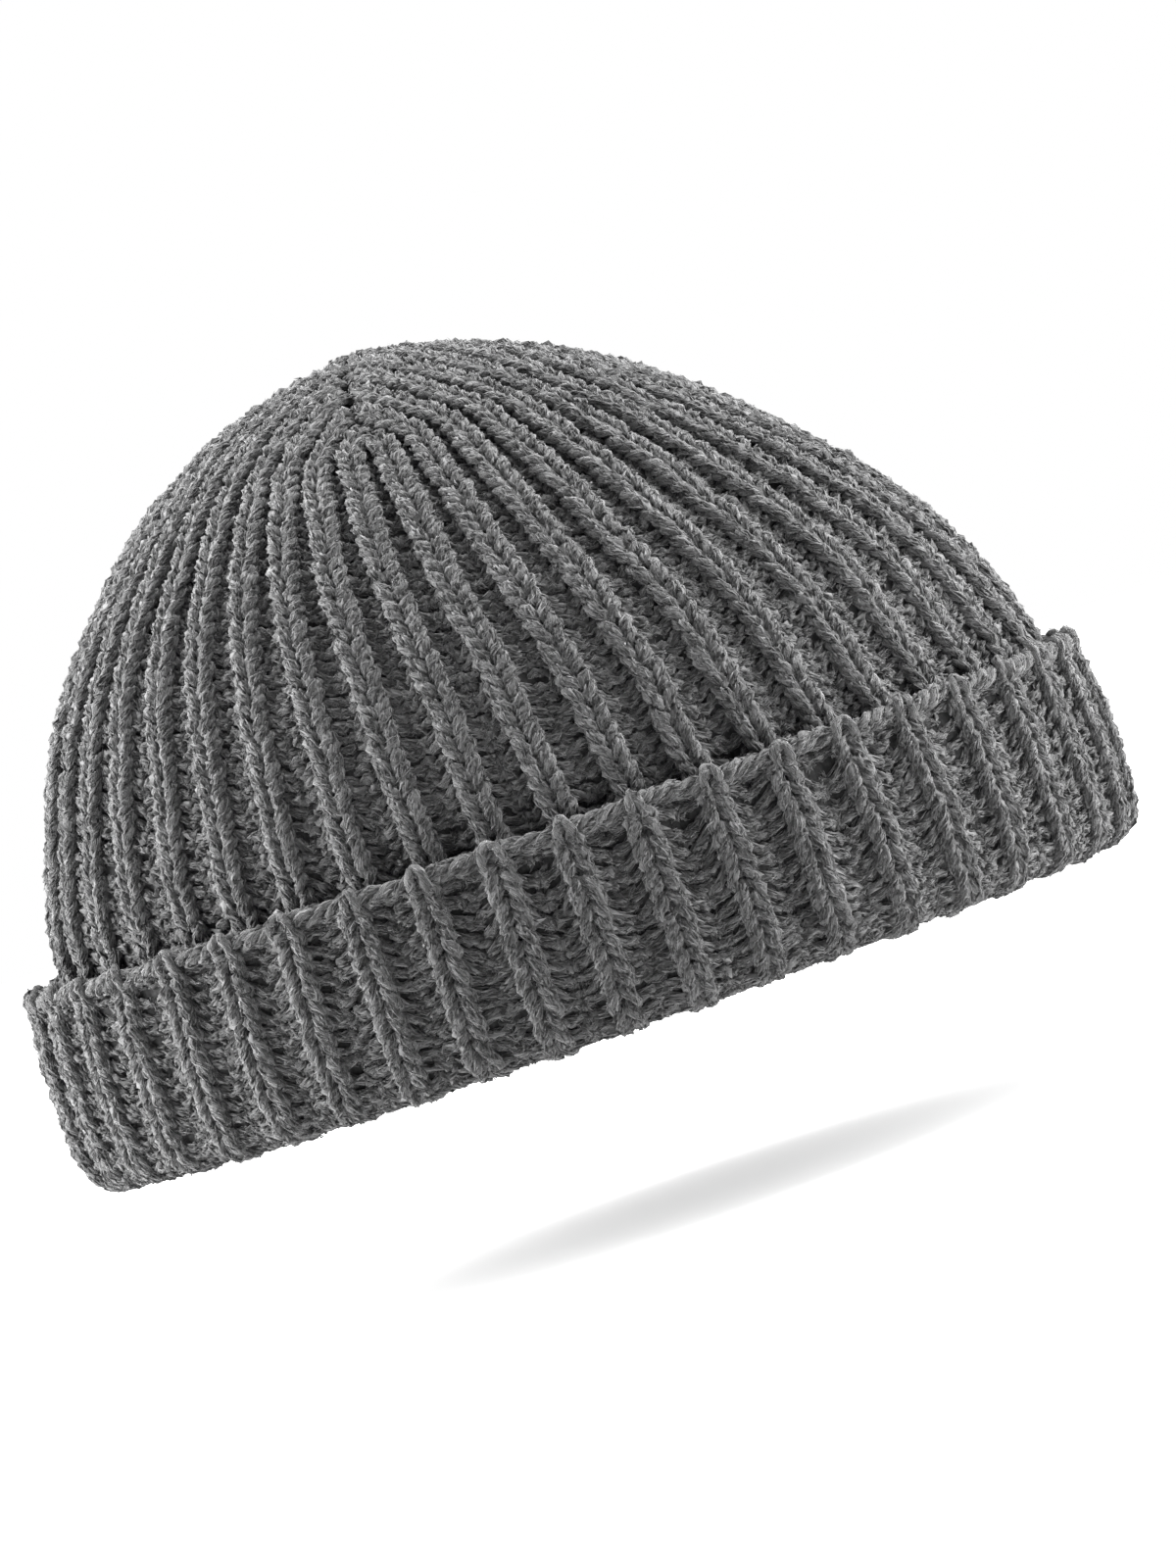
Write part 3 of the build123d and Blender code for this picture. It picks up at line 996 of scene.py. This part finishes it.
def make_label_stitches():
    """Two bars of thread through the label's top corners, each a twisted pair with a knot."""
    low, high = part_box("label_stitch")
    middle = (low.z + high.z) / MM / 2
    reach = high.y / MM - (high.z - low.z) / MM / 2
    along = np.linspace(low.x / MM + 0.3, high.x / MM - 0.5, 40)
    tubes = Tubes()
    for side in (-1, 1):
        for strand in (0.0, 0.5):
            turn = TURN * ((along - along[0]) / THREAD_LAY + strand)
            sideways = side * reach + THREAD_TWIST * np.cos(turn)
            path = np.stack([along, sideways, middle + THREAD_TWIST * np.sin(turn)], -1)
            tubes.add(path, np.tile([0, 0, 1.0], (40, 1)), np.full(40, THREAD), 90 * strand)
        loop = np.linspace(0, TURN, 15)[:-1]
        knot = np.stack([0 * loop + along[-1] - 0.3, side * reach + KNOT * np.cos(loop),
                         middle + KNOT * np.sin(loop)], -1)
        tubes.add(knot, np.tile([1.0, 0, 0], (14, 1)), np.full(14, KNOT_THREAD), 200)
    settle([tubes.piece("label_thread", SEWING_THREAD)], "hat_body", "sewing_thread", "label_stitch")


make_cap()
make_cuff()
make_cast_on_edge()
make_crown_closure()
for dart in ("front", "left", "back", "right"):
    settle([make_seam(f"dart_seam_{dart}")], "hat_body", "yarn", f"dart_seam_{dart}")
nape_seam = make_seam("back_seam")
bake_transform(nape_seam)
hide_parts("back_seam")
make_care_label()
make_label_stitches()


# ----------------------------------------------------------- camera and stage
def set_camera():
    """Level with the hem and a little in front of the left side, rolled so that the nape drops."""
    azimuth, elevation, roll = math.radians(3.0), math.radians(1.2), math.radians(19.3)
    aim = Vector((0.0090, 0.0, 0.0445))
    distance = 1.5
    away = Vector((
        math.sin(azimuth) * math.cos(elevation),
        -math.cos(azimuth) * math.cos(elevation),
        math.sin(elevation),
    ))
    data = bpy.data.cameras.new("camera")
    data.lens = 181.0
    data.sensor_fit = "VERTICAL"
    data.sensor_height = 36.0
    camera = bpy.data.objects.new("camera", data)
    bpy.context.scene.collection.objects.link(camera)
    turn = (-away).to_track_quat("-Z", "Y").to_matrix() @ Matrix.Rotation(-roll, 3, "Z")
    camera.matrix_world = Matrix.Translation(aim + away * distance) @ turn.to_4x4()
    bpy.context.scene.camera = camera


def area_light(name, place, size, power, aim=(0, 0, 0.06)):
    """A round soft light, size m across and power W strong, aimed at the hat."""
    data = bpy.data.lights.new(name, "AREA")
    data.shape = "DISK"
    data.size = size
    data.energy = power
    light = bpy.data.objects.new(name, data)
    light.location = place
    light.rotation_euler = (Vector(aim) - Vector(place)).to_track_quat("-Z", "Y").to_euler()
    bpy.context.scene.collection.objects.link(light)


def for_camera_only(tree, seen, otherwise, output):
    """Joins one shader for what the camera sees directly and another for the light it gives."""
    rays = tree.nodes.new("ShaderNodeLightPath")
    mix = tree.nodes.new("ShaderNodeMixShader")
    tree.links.new(rays.outputs["Is Camera Ray"], mix.inputs[0])
    tree.links.new(otherwise, mix.inputs[1])
    tree.links.new(seen, mix.inputs[2])
    tree.links.new(mix.outputs[0], output)


def set_floor():
    """A pale round floor that fades into the backdrop, low enough for the cuff at its lowest."""
    points = 96
    angles = TURN * np.arange(points) / points
    ring = [
        (FLOOR_RADIUS * math.cos(angle), FLOOR_RADIUS * math.sin(angle), FLOOR)
        for angle in angles
    ]
    mesh = bpy.data.meshes.new("floor")
    mesh.from_pydata(ring, [], [list(range(points))])
    floor = bpy.data.objects.new("floor", mesh)
    bpy.context.scene.collection.objects.link(floor)
    made = Material("floor_paper", (0.62, 0.62, 0.62), 0.95)
    place = made.tree.nodes.new("ShaderNodeTexCoord").outputs["Object"]
    reach = made.node("ShaderNodeVectorMath", Vector=place)
    reach.operation = "LENGTH"
    fade = made.maths("SMOOTH_MIN", made.maths("MULTIPLY", reach.outputs["Value"], 1.1), 1.0, 0.2)
    glow = made.node("ShaderNodeEmission", Strength=made.maths("ADD", fade, 0.35))
    lit = made.tree.nodes.new("ShaderNodeAddShader")
    made.tree.links.new(made.shader.outputs[0], lit.inputs[0])
    made.tree.links.new(glow.outputs[0], lit.inputs[1])
    output = made.tree.nodes["Material Output"].inputs["Surface"]
    for_camera_only(made.tree, lit.outputs[0], made.shader.outputs[0], output)
    mesh.materials.append(made.material)


def set_backdrop():
    """White to the camera, and a weak even light on the object."""
    world = bpy.data.worlds.new("studio")
    bpy.context.scene.world = world
    world.use_nodes = True
    tree = world.node_tree
    fill = tree.nodes["Background"]
    fill.inputs["Color"].default_value = (1, 1, 1, 1)
    fill.inputs["Strength"].default_value = 0.008
    white = tree.nodes.new("ShaderNodeBackground")
    white.inputs["Color"].default_value = (1, 1, 1, 1)
    output = tree.nodes["World Output"].inputs["Surface"]
    for_camera_only(tree, white.outputs[0], fill.outputs[0], output)


set_camera()
area_light("overhead", (0.40, 0.16, 1.22), 1.8, 43)
area_light("left_side", (-1.15, -0.02, 0.45), 1.2, 53)
area_light("right_side", (1.2, 0.03, 0.35), 1.2, 37)
set_floor()
set_backdrop()
bpy.context.scene.view_settings.view_transform = "Standard"
